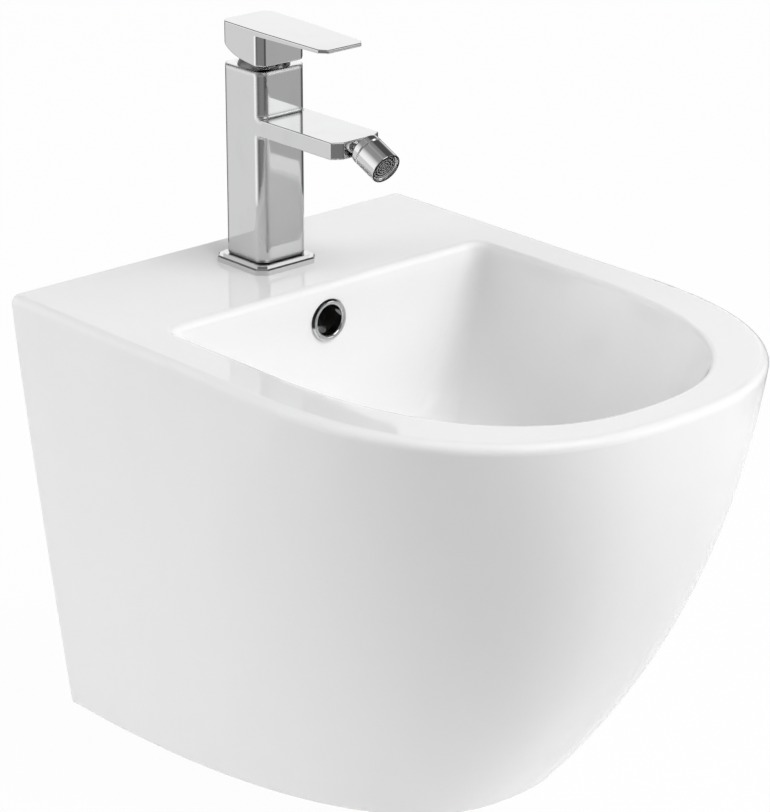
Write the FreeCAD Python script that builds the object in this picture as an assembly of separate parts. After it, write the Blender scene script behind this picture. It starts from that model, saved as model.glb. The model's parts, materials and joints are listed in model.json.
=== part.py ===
import FreeCAD, Part
import math
import os

# Wall-hung bidet with a square single-lever mixer. All lengths are in millimetres.
# The origin lies on the wall plane, midway between the two wall bolts. +Z is up, the bowl's front
# faces -Y, and +X is to the right of someone who faces the wall.

V = FreeCAD.Vector
X_AXIS = V(1, 0, 0)
Z_AXIS = V(0, 0, 1)
overrun = 1.0
same_height = 0.01
seam_angle = 0.2

# Ceramic body: outer skin
body_width = 361.0
base_width = 283.0
body_length = 467.0
base_length = 320.0
body_height = 325.0
rim_bow = 205.0
base_straight = 10.0
side_power = 1.12
front_power = 2.0
plan_power = 2.4
skin_level_shares = (0.0, 0.12, 0.3, 0.5, 0.7, 0.87, 1.0)
plan_angle_count = 12
rim_round = 6.0
base_round = 5.0
rear_trim = 10.0
rear_round = 1.5

# Ceramic body: walls, wall fixing and service opening
wall = 12.0
deck_thickness = 14.0
rear_wall = 20.0
rim_band = 45.0
bolt_drop = 80.0
bolt_spacing = 180.0
bolt_hole_r = 9.0
service_width = 190.0
service_top_drop = 50.0
service_round = 30.0
base_rim = 35.0
base_opening_straight = 110.0

# Bowl
side_rim = 36.5
bowl_rear = 126.0
front_rim = 29.0
bowl_widest = 232.0
bowl_depth = 142.0
floor_rise = 4.0
bowl_edge_round = 5.0
bowl_side_draft = 0.31
bowl_front_draft = 0.45
bowl_side_power = 8.0
bowl_rear_power = 10.0
bowl_front_power = 6.0
bowl_corner_r = 12.0
floor_corner_r = 30.0
round_power = 2.0
corner_fade_power = 3.0
bowl_level_shares = (0.0, 0.2, 0.45, 0.65, 0.78, 0.88, 0.95, 1.0)
waste_place_share = 0.35

# Overflow passage and its ring
overflow_drop = 27.0
overflow_bore_r = 9.0
overflow_web = 7.0
overflow_shell = 8.0
overflow_entry_below = 34.0
overflow_entry_reach = 24.0
ring_r = 15.0
ring_inner_r = 11.0
ring_height = 3.0
ring_lip = 1.0
ring_seat_clearance = 0.5
ring_seat_depth = 0.3
ring_sleeve_wall = 1.2
ring_sleeve_clearance = 0.2
ring_sleeve_length = 5.0

# Wall sleeves
sleeve_r = 8.8
sleeve_bore_r = 6.5
sleeve_flange_r = 14.0
sleeve_flange = 3.0

# Waste fitting, heights counted from the bowl floor
waste_hole_r = 23.0
boss_r = 38.0
boss_height = 52.0
waste_flange_r = 31.5
waste_flange = 2.5
waste_flange_bevel = 1.2
waste_dish_r = 26.5
waste_dish_drop = 4.0
waste_tube_r = 20.9
waste_tube_bore_r = 17.5
waste_tube_length = 91.0
waste_tail_length = 24.0
tail_groove = 1.0
tail_groove_depth = 0.6
upper_seal_r = 29.0
upper_seal = 1.5
lower_seal_r = 33.0
lower_seal = 4.0
seal_clearance = 0.2
backnut_flats = 60.0
backnut_height = 10.0
slot_count = 3
slot_width = 8.0
slot_height = 14.0
hub_r = 10.5
hub_top_drop = 18.0
hub_height = 8.0
hub_arm_count = 3
hub_arm_width = 3.0
insert_r = 8.0
insert_flange_r = 10.0
insert_flange = 2.0
insert_length = 18.0
thread_clearance = 0.05
slide_clearance = 0.08

# Press-to-close plug
plug_r = 29.5
plug_edge = 3.0
plug_crown = 1.6
plug_lift = 9.0
plug_seat_gap = 0.3
plug_seal_r = 28.0
plug_seal_inner_r = 24.0
plug_seal = 2.4
plug_stem_r = 4.2
plug_stem_length = 36.0
plug_stem_socket = 2.0

# Tap column and spout, heights counted from the deck
tap_from_wall = 59.0
tap_hole_r = 17.5
plate_side = 55.0
plate_chamfer = 6.5
plate_thickness = 4.5
plate_bevel = 1.0
plate_land = 1.5
plate_land_inset = 2.5
base_seal_r = 22.0
base_seal_inner_r = 18.6
base_seal = 1.2
column_side = 43.0
column_chamfer = 5.0
column_soft_round = 4.0
column_top = 144.5
edge_round = 0.7
foot_groove = 0.8
foot_inset = 1.0
spigot_r = 16.0
spigot_drop = 3.0
spigot_clearance = 0.1
spout_drop = 38.8
spout_thickness = 12.0
spout_reach = 100.5
tip_chamfer_width = 7.5
tip_chamfer_length = 5.0
inlet_offset = 8.5
inlet_back = 5.0
inlet_r = 4.0
inlet_thread_r = 5.0
inlet_thread_depth = 12.0
outlet_forward = 9.0
outlet_r = 4.5
spout_bore_r = 4.0

# What clamps the tap to the deck
stud_forward = 9.0
stud_r = 4.0
stud_depth = 12.0
stud_length = 60.0
clamp_r = 27.0
clamp_slot_width = 30.0
clamp_slot_forward = 3.0
clamp_gasket = 3.0
clamp_washer = 2.5
clamp_hole_clearance = 0.3
stud_nut_flats = 13.0
stud_nut_height = 18.0

# Mixing cartridge, stacked down from the column's top
cartridge_bore_r = 17.6
cartridge_clearance = 0.1
cartridge_seal = 0.8
housing_floor = 1.7
housing_roof = 1.2
housing_neck_r = 13.9
chamber_r = 13.5
port_r = 3.2
disc_thickness = 4.0
disc_clearance = 0.1
disc_film = 0.05
disc_travel_room = 4.7
moving_disc_height = 10.45
driver_play = 1.4
driver_slot_floor = 0.9
driver_slot_clearance = 0.4
pivot_rise = 5.6
pivot_r = 1.5
pivot_half_length = 10.2
pivot_clearance = 0.06
carrier_r = 11.0
carrier_head = 5.0
carrier_stand = 1.0
carrier_play = 0.4
carrier_flange_clearance = 0.7
carrier_flange = 1.5
carrier_slot_front = 6.0
carrier_slot_rear = 7.0
carrier_slot_clearance = 0.15
stem_side = 7.0
stem_shoulder_drop = 3.6
stem_shank_r = 2.2
stem_ball_r = 2.6
stem_ball_drop = 9.0
stem_reach = 33.0
nut_height = 7.0
nut_play = 0.3
nut_notch_count = 4
nut_notch_width = 4.0
nut_notch_depth = 2.0
dome_overhang = 1.1
dome_shell = 1.6
dome_lip = 4.0
dome_skirt_clearance = 0.2
dome_skirt_wall = 1.5
dome_skirt_drop = 3.7
dome_skirt_overlap = 1.0

# Lever
lever_height = 30.5
lever_tip_drop = 2.0
lever_reach = 86.0
lever_tip_width = 38.6
lever_tip_chamfer_width = 4.5
lever_tip_chamfer_length = 5.7
lever_root = 4.4
lever_tip = 2.4
lever_gap_front = 3.7
lever_gap_middle = 5.7
lever_gap_control = 9.0
lever_gap_rear = 23.5
lever_middle_share = -0.23
lever_control_share = 0.88
lever_dome_gap = 0.5
stem_socket_clearance = 0.1
lever_screw_drop = 11.5
lever_screw_r = 2.0
lever_screw_length = 10.0
screw_cap_r = 3.0
screw_cap_length = 6.0
screw_clearance = 0.05

# Swivelling nozzle, lengths counted along its axis from the ball's centre
ball_reach = 8.0
ball_r = 7.5
ball_bore_r = 2.4
neck_r = 3.8
shoulder_r = 5.0
shoulder_length = 1.0
ball_thread_r = 4.8
ball_thread_length = 12.0
nozzle_drop_deg = 25.0
nozzle_r = 11.5
nozzle_back = 2.6
nozzle_split = 3.2
nozzle_length = 21.6
nozzle_bore_r = 6.0
nozzle_end_round = 0.8
collar_round = 1.5
split_bevel = 0.8
nozzle_wall = 1.1
seat_r = 9.25
seat_back = 2.6
seat_front = 5.6
swivel_clearance = 0.08
aerator_clearance = 0.1
aerator_back = 12.0
aerator_recess = 1.7
aerator_shell = 0.9
grille_thickness = 1.2
grille_ring_count = 4
grille_ring_width = 0.7
grille_spoke_count = 8
grille_spoke_width = 0.6
diffuser_depth = 2.4
diffuser_thickness = 0.8

# Places worked out from the sizes above
deck_z = bolt_drop
base_z = deck_z - body_height
rim_straight = body_length - rim_bow
base_opening_length = base_length - base_rim
bowl_half_width = body_width / 2 - side_rim
bowl_front = body_length - front_rim
waste_from_wall = bowl_rear + (bowl_front - bowl_rear) * waste_place_share
floor_depth = bowl_depth - floor_rise
floor_z = deck_z - floor_depth
ring_sleeve_r = ring_inner_r + ring_sleeve_wall
overflow_hole_r = ring_sleeve_r + ring_sleeve_clearance
flange_top = upper_seal + waste_flange
plate_top = plate_thickness + plate_land
column_half = column_side / 2
spout_level = column_top - spout_drop
spout_bottom = spout_level - spout_thickness / 2
housing_r = cartridge_bore_r - cartridge_clearance
nut_top = column_top - dome_skirt_drop - nut_play
housing_shoulder = nut_top - nut_height
chamber_top = housing_shoulder - housing_roof
carrier_bottom = chamber_top - carrier_play - carrier_flange
pivot_height = carrier_bottom + pivot_rise
carrier_top = pivot_height + carrier_head
carrier_flange_r = chamber_r - carrier_flange_clearance
housing_top = carrier_top - carrier_stand
driver_top = carrier_bottom - driver_play
driver_slot_bottom = pivot_height - stem_ball_drop - stem_ball_r - driver_slot_floor
moving_disc_r = chamber_r - disc_travel_room
moving_disc_bottom = driver_top - moving_disc_height
disc_bottom = moving_disc_bottom - disc_film - disc_thickness
housing_bottom = disc_bottom - housing_floor
cartridge_seat = housing_bottom - cartridge_seal
stem_top = pivot_height + stem_reach
dome_skirt_r = cartridge_bore_r - dome_skirt_clearance
dome_skirt_bore_r = dome_skirt_r - dome_skirt_wall
dome_r = dome_skirt_r + dome_overhang
dome_opening_r = dome_r - dome_lip
dome_sphere_r = math.hypot(dome_r, column_top - pivot_height)
lever_top = column_top + lever_height
lever_screw_height = lever_top - lever_screw_drop
aerator_r = nozzle_r - nozzle_wall - aerator_clearance


# Basic forms
def cylinder(radius, low, high, x=0, y=0):
    return Part.makeCylinder(radius, high - low, V(x, y, low), Z_AXIS)


def rod(radius, start, end):
    return Part.makeCylinder(radius, (end - start).Length, start, end - start)


def ring(outer_r, inner_r, low, high):
    return cylinder(outer_r, low, high).cut(cylinder(inner_r, low - overrun, high + overrun))


def block(x_low, x_high, y_low, y_high, z_low, z_high):
    return Part.makeBox(x_high - x_low, y_high - y_low, z_high - z_low, V(x_low, y_low, z_low))


def prism(outline, low, high):
    points = [V(x, y, low) for x, y in outline]
    face = Part.Face(Part.makePolygon(points + points[:1]))
    return face.extrude(V(0, 0, high - low))


def lathe(profile):
    points = [V(r, 0, z) for r, z in profile]
    face = Part.Face(Part.makePolygon(points + points[:1]))
    return face.revolve(V(0, 0, 0), Z_AXIS, 360)


def hexagon(flats, low, high, x=0, y=0):
    corner_r = flats / math.sqrt(3)
    corners = [math.radians(60 * i) for i in range(6)]
    return prism([(x + corner_r * math.cos(a), y + corner_r * math.sin(a)) for a in corners], low, high)


def chamfered_square(side, chamfer):
    half = side / 2
    inner = half - chamfer
    return [(-inner, -half), (inner, -half), (half, -inner), (half, inner),
            (inner, half), (-inner, half), (-half, inner), (-half, -inner)]


def upright_edges(shape):
    boxes = [(e, e.BoundBox) for e in shape.Edges]
    return [e for e, box in boxes if box.XLength < same_height and box.YLength < same_height]


def soft_square(side, chamfer, round_r, low, high):
    """Upright square bar with bevelled corners, each edge of the bevels turned soft."""
    bar = prism(chamfered_square(side, chamfer), low, high)
    return bar.makeFillet(round_r, upright_edges(bar))


def sharp_edges(shape):
    """Edges whose two faces meet at an angle, without the seams where one face runs on into the next."""
    found = []
    for edge in shape.Edges:
        faces = shape.ancestorsOfType(edge, Part.Face)
        if len(faces) < 2:
            continue
        middle = edge.valueAt((edge.FirstParameter + edge.LastParameter) / 2)
        normals = [f.normalAt(*f.Surface.parameter(middle)) for f in faces[:2]]
        if normals[0].getAngle(normals[1]) > seam_angle:
            found.append(edge)
    return found


def around_z(shape, count):
    return [shape.rotated(V(0, 0, 0), Z_AXIS, 360 * i / count) for i in range(count)]


def edges_at(shape, z, curved_only=True):
    flat = [e for e in shape.Edges
            if abs(e.BoundBox.ZMin - z) < same_height and abs(e.BoundBox.ZMax - z) < same_height]
    return [e for e in flat if not (curved_only and isinstance(e.Curve, Part.Line))]


def on_deck(shape):
    return shape.translated(V(0, -tap_from_wall, deck_z))


def on_floor(shape):
    return shape.translated(V(0, -waste_from_wall, floor_z))


def at_ball(shape):
    """Turns a piece built along +Z into the nozzle's axis and moves it to the ball's centre."""
    drop = math.radians(nozzle_drop_deg)
    axis = V(0, -math.cos(drop), -math.sin(drop))
    shape = shape.copy()
    shape.Placement = FreeCAD.Placement(V(0, -spout_reach - ball_reach, spout_level),
                                        FreeCAD.Rotation(Z_AXIS, axis))
    return on_deck(shape)


# Ceramic body
def curve_through(points, start_tangent, end_tangent):
    curve = Part.BSplineCurve()
    curve.interpolate(Points=points, InitialTangent=start_tangent, FinalTangent=end_tangent)
    return curve.toShape()


def superellipse(half_width, reach, power):
    """Half of a superellipse, from its right end over its far side to its left end."""
    points = [(half_width, 0)]
    for i in range(1, 2 * plan_angle_count):
        angle = math.pi / 2 * i / plan_angle_count
        x = half_width * math.copysign(abs(math.cos(angle)) ** (2 / power), math.cos(angle))
        y = reach * math.sin(angle) ** (2 / power)
        points.append((x, y))
    return points + [(-half_width, 0)]


def plan_wire(half_width, rear, straight, length, z):
    """D-shaped plan: square at the rear, straight sides, then a superelliptic front."""
    front = [V(x, -straight - y, z) for x, y in superellipse(half_width, length - straight, plan_power)]
    right = V(half_width, -rear, z)
    left = V(-half_width, -rear, z)
    bow = curve_through(front, V(0, -1, 0), V(0, 1, 0))
    edges = [Part.makeLine(right, front[0]), bow, Part.makeLine(front[-1], left), Part.makeLine(left, right)]
    return Part.Wire(edges)


def skin_wire(drop, inset, rear):
    """Section of the outer skin at a depth below the deck, drawn in by the inset."""
    share = drop / body_height
    half_width = (base_width + (body_width - base_width) * (1 - share ** side_power)) / 2
    length = base_length + (body_length - base_length) * (1 - share ** front_power)
    straight = base_straight + (rim_straight - base_straight) * (1 - share)
    straight = max(straight, rear + base_straight)
    return plan_wire(half_width - inset, rear, straight, length - inset, deck_z - drop)


def skin(top_drop, bottom_drop, inset, rear):
    drops = [top_drop + (bottom_drop - top_drop) * share for share in skin_level_shares]
    return Part.makeLoft([skin_wire(drop, inset, rear) for drop in drops], True)


def bowl_wire(drop, depth, grow):
    """Section of the bowl: a flat rear wall with round corners, drawn in towards the waste at the floor."""
    share = drop / depth

    def closing(power):
        return math.sqrt(1 - share ** power)

    widest = bowl_widest + (waste_from_wall - bowl_widest) * share
    half_width = (bowl_half_width + grow - bowl_side_draft * drop) * closing(bowl_side_power)
    rear_reach = (widest - bowl_rear + grow) * closing(bowl_rear_power)
    front_reach = (bowl_front - widest + grow - bowl_front_draft * drop) * closing(bowl_front_power)
    corner_r = bowl_corner_r + grow + (floor_corner_r - bowl_corner_r) * share ** corner_fade_power
    front_plan_power = plan_power + (round_power - plan_power) * share
    z = deck_z - drop
    front = [V(x, -widest - y, z) for x, y in superellipse(half_width, front_reach, front_plan_power)]
    bow = curve_through(front, V(0, -1, 0), V(0, 1, 0))
    rear = -widest + rear_reach
    side = rear - corner_r
    flat = half_width - corner_r
    slant = corner_r * math.sin(math.pi / 4)
    left_arc = Part.Arc(V(-half_width, side, z), V(-flat - slant, side + slant, z), V(-flat, rear, z)).toShape()
    right_arc = Part.Arc(V(flat, rear, z), V(flat + slant, side + slant, z), V(half_width, side, z)).toShape()
    return Part.Wire([bow, Part.makeLine(front[-1], V(-half_width, side, z)), left_arc,
                      Part.makeLine(V(-flat, rear, z), V(flat, rear, z)), right_arc,
                      Part.makeLine(V(half_width, side, z), front[0])])


def bowl_form(grow):
    depth = bowl_depth + grow
    floor = floor_depth + grow
    return Part.makeLoft([bowl_wire(floor * share, depth, grow) for share in bowl_level_shares], True)


def overflow_route():
    """Corners of the passage: behind the overflow hole, below the bowl's rear, at the waste hole."""
    y = -(bowl_rear - overflow_web - overflow_bore_r)
    entry_y = -(waste_from_wall - overflow_entry_reach)
    return [V(0, y, deck_z - overflow_drop), V(0, y, floor_z),
            V(0, entry_y, floor_z - overflow_entry_below)]


def pipe(route, radius):
    pieces = [rod(radius, a, b) for a, b in zip(route, route[1:])]
    pieces += [Part.makeSphere(radius, corner) for corner in route[:-1]]
    return pieces[0].fuse(pieces[1:])


def ceramic_body():
    half = body_width / 2
    outer = skin(0, body_height, 0, -rear_trim)
    outer = outer.makeFillet(rim_round, edges_at(outer, deck_z))
    outer = outer.makeFillet(base_round, edges_at(outer, base_z))
    outer = outer.cut(block(-half, half, 0, rear_trim + overrun, base_z - overrun, deck_z + overrun))
    outer = outer.makeFillet(rear_round, [e for e in outer.Edges if e.BoundBox.YMin > -same_height])
    body = outer.cut(bowl_form(0))
    rim_edges = [e for e in edges_at(body, deck_z) if e.BoundBox.YMax < -bowl_rear + overrun
                 and e.BoundBox.YMin > -bowl_front - overrun]
    body = body.makeFillet(bowl_edge_round, rim_edges)

    cavity = skin(deck_thickness, body_height - wall, wall, rear_wall)
    rim = block(-half, half, -body_length, -bowl_rear, deck_z - rim_band, deck_z)
    boss = on_floor(cylinder(boss_r, -boss_height, wall))
    route = overflow_route()
    cavity = cavity.cut([rim, bowl_form(wall), boss, pipe(route, overflow_bore_r + overflow_shell)])

    service_half = service_width / 2
    service = block(-service_half, service_half, -rear_wall - overrun, overrun,
                    base_z - overrun, -service_top_drop)
    top_edges = [e for e in service.Edges if abs(e.CenterOfMass.z + service_top_drop) < same_height
                 and abs(abs(e.CenterOfMass.x) - service_half) < same_height]
    service = service.makeFillet(service_round, top_edges)
    underside = Part.Face(plan_wire(service_half, -overrun, base_opening_straight, base_opening_length,
                                    base_z - overrun)).extrude(V(0, 0, wall + overrun + overrun))
    overflow = [pipe(route, overflow_bore_r),
                rod(overflow_hole_r, V(0, -bowl_rear - overrun, route[0].z), route[0]),
                rod(ring_r + ring_seat_clearance, V(0, -bowl_rear - ring_height, route[0].z),
                    V(0, -bowl_rear + ring_seat_depth, route[0].z))]
    bolts = [rod(bolt_hole_r, V(x, overrun, 0), V(x, -rear_wall - overrun, 0))
             for x in (-bolt_spacing / 2, bolt_spacing / 2)]
    tap_hole = on_deck(cylinder(tap_hole_r, -deck_thickness - overrun, overrun))
    waste_hole = on_floor(cylinder(waste_hole_r, -boss_height - overrun, overrun))
    return body.cut([cavity, service, underside, tap_hole, waste_hole] + overflow + bolts)


def wall_sleeves():
    profile = [(sleeve_bore_r, 0), (sleeve_r, 0), (sleeve_r, rear_wall), (sleeve_flange_r, rear_wall),
               (sleeve_flange_r, rear_wall + sleeve_flange), (sleeve_bore_r, rear_wall + sleeve_flange)]
    sleeve = lathe(profile).rotated(V(0, 0, 0), X_AXIS, 90)
    return Part.makeCompound([sleeve.translated(V(x, 0, 0)) for x in (-bolt_spacing / 2, bolt_spacing / 2)])


def overflow_ring():
    bead_r = (ring_r + ring_inner_r) / 2
    bead = Part.Arc(V(ring_r, 0, 0), V(bead_r, 0, ring_height), V(ring_inner_r, 0, ring_lip)).toShape()
    outline = [V(ring_inner_r, 0, ring_lip), V(ring_inner_r, 0, -ring_sleeve_length),
               V(ring_sleeve_r, 0, -ring_sleeve_length), V(ring_sleeve_r, 0, 0), V(ring_r, 0, 0)]
    profile = Part.Face(Part.Wire([bead] + Part.makePolygon(outline).Edges))
    turned = profile.revolve(V(0, 0, 0), Z_AXIS, 360).rotated(V(0, 0, 0), X_AXIS, 90)
    return turned.translated(V(0, -bowl_rear + ring_seat_depth, deck_z - overflow_drop))


# Waste fitting
def waste_upper_seal():
    return on_floor(ring(upper_seal_r, waste_tube_r + seal_clearance, 0, upper_seal))


def waste_lower_seal():
    return on_floor(ring(lower_seal_r, waste_tube_r + seal_clearance, -boss_height - lower_seal, -boss_height))


def waste_backnut():
    top = -boss_height - lower_seal
    nut = hexagon(backnut_flats, top - backnut_height, top)
    return on_floor(nut.cut(cylinder(waste_tube_r + thread_clearance, top - backnut_height - overrun,
                                     top + overrun)))


def waste_body():
    """Flanged tube with a dished mouth, overflow slots, a grooved tail and a hub for the plug's guide."""
    low = -waste_tube_length
    tube = lathe([(waste_tube_bore_r, low), (waste_tube_r, low), (waste_tube_r, upper_seal),
                  (waste_flange_r, upper_seal), (waste_flange_r, flange_top - waste_flange_bevel),
                  (waste_flange_r - waste_flange_bevel, flange_top), (waste_dish_r, flange_top),
                  (waste_tube_bore_r, -waste_dish_drop)])
    groove_low = low + waste_tail_length
    groove = ring(waste_tube_r + overrun, waste_tube_r - tail_groove_depth, groove_low, groove_low + tail_groove)
    slot = block(waste_tube_bore_r - overrun, waste_tube_r + overrun, -slot_width / 2, slot_width / 2,
                 -overflow_entry_below - slot_height / 2, -overflow_entry_below + slot_height / 2)
    tube = tube.cut([groove] + [s.rotated(V(0, 0, 0), Z_AXIS, 90) for s in around_z(slot, slot_count)])
    hub_low = -hub_top_drop - hub_height
    hub = cylinder(hub_r, hub_low, -hub_top_drop)
    arm = block(0, waste_tube_bore_r + overrun, -hub_arm_width / 2, hub_arm_width / 2, hub_low, -hub_top_drop)
    bore = cylinder(insert_r + thread_clearance, hub_low - overrun, -hub_top_drop + overrun)
    return on_floor(tube.fuse([hub] + around_z(arm, hub_arm_count)).cut(bore).removeSplitter())


def waste_insert():
    top = -hub_top_drop + insert_flange
    low = -hub_top_drop - insert_length
    sleeve = cylinder(insert_r, low, top).fuse(cylinder(insert_flange_r, -hub_top_drop, top))
    return on_floor(sleeve.cut(cylinder(plug_stem_r + slide_clearance, low - overrun, top + overrun)))


plug_bottom = flange_top + plug_seat_gap + plug_seal + plug_lift


def waste_plug():
    """Shallow crowned cap, shown open: one lift above its closed place."""
    top = plug_bottom + plug_edge
    crown_r = (plug_r ** 2 + plug_crown ** 2) / (2 * plug_crown)
    crown_z = top + plug_crown - crown_r
    half_angle = math.asin(plug_r / crown_r) / 2
    on_crown = V(crown_r * math.sin(half_angle), 0, crown_z + crown_r * math.cos(half_angle))
    crown = Part.Arc(V(plug_r, 0, top), on_crown, V(0, 0, top + plug_crown)).toShape()
    outline = [V(0, 0, top + plug_crown), V(0, 0, plug_bottom), V(plug_r, 0, plug_bottom), V(plug_r, 0, top)]
    cap = Part.Face(Part.Wire([crown] + Part.makePolygon(outline).Edges)).revolve(V(0, 0, 0), Z_AXIS, 360)
    return on_floor(cap.cut(cylinder(plug_stem_r + thread_clearance, plug_bottom - overrun,
                                     plug_bottom + plug_stem_socket)))


def plug_seal_ring():
    return on_floor(ring(plug_seal_r, plug_seal_inner_r, plug_bottom - plug_seal, plug_bottom))


def plug_stem():
    top = plug_bottom + plug_stem_socket
    return on_floor(cylinder(plug_stem_r, top - plug_stem_length, top))


# Tap column, spout and what holds them on the deck
def tap_base_plate():
    plate = prism(chamfered_square(plate_side, plate_chamfer), 0, plate_thickness)
    plate = plate.makeChamfer(plate_bevel, edges_at(plate, plate_thickness, curved_only=False))
    land_side = column_side + 2 * plate_land_inset
    land = prism(chamfered_square(land_side, column_chamfer), 0, plate_top)
    hole = cylinder(spigot_r + spigot_clearance, -overrun, plate_top + overrun)
    groove = ring(base_seal_r + spigot_clearance, base_seal_inner_r - spigot_clearance, -overrun, base_seal)
    return on_deck(plate.fuse(land).cut([hole, groove]).removeSplitter())


def tap_base_seal():
    return on_deck(ring(base_seal_r, base_seal_inner_r, 0, base_seal))


def spout_outline():
    inner = column_half - tip_chamfer_width
    shoulder = -spout_reach + tip_chamfer_length
    return [(-column_half, 0), (-column_half, shoulder), (-inner, -spout_reach),
            (inner, -spout_reach), (column_half, shoulder), (column_half, 0)]


def tap_body():
    """Column and spout in one casting, bored for the cartridge, the two supplies and the outlet."""
    foot_top = plate_top + foot_groove
    foot = prism(chamfered_square(column_side - 2 * foot_inset, column_chamfer), plate_top, foot_top)
    column = soft_square(column_side, column_chamfer, column_soft_round, foot_top, column_top)
    spout = prism(spout_outline(), spout_bottom, spout_bottom + spout_thickness)
    spigot = cylinder(spigot_r, -spigot_drop, plate_top)
    casting = column.makeFillet(edge_round, sharp_edges(column))
    casting = casting.fuse([spout.makeFillet(edge_round, spout.Edges), foot, spigot])

    cuts = [cylinder(cartridge_bore_r, cartridge_seat, column_top + overrun)]
    for x in (-inlet_offset, inlet_offset):
        cuts.append(cylinder(inlet_r, -spigot_drop - overrun, cartridge_seat + overrun, x, inlet_back))
        cuts.append(cylinder(inlet_thread_r, -spigot_drop - overrun, inlet_thread_depth - spigot_drop,
                             x, inlet_back))
    cuts.append(cylinder(outlet_r, spout_level, cartridge_seat + overrun, 0, -outlet_forward))
    tip = V(0, -spout_reach - overrun, spout_level)
    cuts.append(rod(spout_bore_r, tip, V(0, -outlet_forward, spout_level)))
    cuts.append(rod(ball_thread_r + thread_clearance, tip, V(0, -spout_reach + ball_thread_length, spout_level)))
    cuts.append(cylinder(stud_r + thread_clearance, -spigot_drop - overrun, stud_depth - spigot_drop,
                         0, -stud_forward))
    return on_deck(casting.cut(cuts))


def mounting_stud():
    top = stud_depth - spigot_drop
    return on_deck(cylinder(stud_r, top - stud_length, top, 0, -stud_forward))


def horseshoe(low, high):
    """Disc with a slot for the two supplies and a hole for the stud."""
    half = clamp_slot_width / 2
    disc = cylinder(clamp_r, low, high)
    slot = block(-half, half, -clamp_slot_forward, clamp_r + overrun, low - overrun, high + overrun)
    hole = cylinder(stud_r + clamp_hole_clearance, low - overrun, high + overrun, 0, -stud_forward)
    return on_deck(disc.cut([slot, hole]))


def stud_nut():
    top = -deck_thickness - clamp_gasket - clamp_washer
    low = top - stud_nut_height
    nut = hexagon(stud_nut_flats, low, top, 0, -stud_forward)
    return on_deck(nut.cut(cylinder(stud_r + thread_clearance, low - overrun, top + overrun, 0, -stud_forward)))


# Mixing cartridge
def ports(low, high):
    """The two supply ports and the outlet port, in line with the passages in the casting."""
    holes = [cylinder(port_r, low - overrun, high + overrun, x, inlet_back) for x in (-inlet_offset, inlet_offset)]
    return holes + [cylinder(port_r, low - overrun, high + overrun, 0, -outlet_forward)]


def cartridge_seal_disc():
    seal = cylinder(housing_r, cartridge_seat, housing_bottom)
    return on_deck(seal.cut(ports(cartridge_seat, housing_bottom)))


def cartridge_housing():
    drum = cylinder(housing_r, housing_bottom, housing_shoulder)
    neck = cylinder(housing_neck_r, housing_shoulder, housing_top)
    chamber = cylinder(chamber_r, disc_bottom, chamber_top)
    bore = cylinder(carrier_r + slide_clearance, chamber_top, housing_top + overrun)
    return on_deck(drum.fuse(neck).cut([chamber, bore] + ports(housing_bottom, disc_bottom)))


def fixed_disc():
    top = disc_bottom + disc_thickness
    disc = cylinder(chamber_r - disc_clearance, disc_bottom, top)
    return on_deck(disc.cut(ports(disc_bottom, top)))


def moving_disc():
    """Upper ceramic disc with its driver, slotted for the ball end of the stem."""
    disc = cylinder(moving_disc_r, moving_disc_bottom, driver_top)
    half = stem_ball_r + driver_slot_clearance
    slot = block(-moving_disc_r, moving_disc_r, -half, half, driver_slot_bottom, driver_top + overrun)
    return on_deck(disc.cut(slot))


def cartridge_carrier():
    """Turning carrier that the stem pivots in."""
    carrier = cylinder(carrier_r, carrier_bottom, carrier_top)
    flange = cylinder(carrier_flange_r, carrier_bottom, carrier_bottom + carrier_flange)
    half = stem_side / 2 + carrier_slot_clearance
    slot = block(-half, half, -carrier_slot_front, carrier_slot_rear, carrier_bottom - overrun,
                 carrier_top + overrun)
    pin_hole = rod(pivot_r + thread_clearance, V(-carrier_r, 0, pivot_height), V(carrier_r, 0, pivot_height))
    return on_deck(carrier.fuse(flange).cut([slot, pin_hole]))


def pivot_pin():
    return on_deck(rod(pivot_r, V(-pivot_half_length, 0, pivot_height), V(pivot_half_length, 0, pivot_height)))


def cartridge_stem():
    half = stem_side / 2
    ball_z = pivot_height - stem_ball_drop
    bar = block(-half, half, -half, half, pivot_height - stem_shoulder_drop, stem_top)
    shank = cylinder(stem_shank_r, ball_z, pivot_height)
    ball = Part.makeSphere(stem_ball_r, V(0, 0, ball_z))
    pin_hole = rod(pivot_r + pivot_clearance, V(-half - overrun, 0, pivot_height), V(half + overrun, 0, pivot_height))
    return on_deck(bar.fuse([shank, ball]).cut(pin_hole))


def cartridge_nut():
    nut = ring(housing_r, housing_neck_r + cartridge_clearance, housing_shoulder, nut_top)
    notch = block(0, cartridge_bore_r, -nut_notch_width / 2, nut_notch_width / 2, nut_top - nut_notch_depth,
                  nut_top + overrun)
    return on_deck(nut.cut(around_z(notch, nut_notch_count)))


def cartridge_dome():
    """Ball-shaped cover ring centred on the lever's pivot, with a skirt in the column's bore."""
    centre = V(0, 0, pivot_height)
    shell = Part.makeSphere(dome_sphere_r, centre).cut(Part.makeSphere(dome_sphere_r - dome_shell, centre))
    shell = shell.common(cylinder(dome_sphere_r, column_top, pivot_height + dome_sphere_r))
    shell = shell.cut(cylinder(dome_opening_r, column_top - overrun, pivot_height + dome_sphere_r))
    skirt = ring(dome_skirt_r, dome_skirt_bore_r, column_top - dome_skirt_drop, column_top + dome_skirt_overlap)
    return on_deck(shell.fuse(skirt))


# Lever
def side_face(edges):
    return Part.Face(Part.Wire(edges)).extrude(V(column_side, 0, 0))


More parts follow.
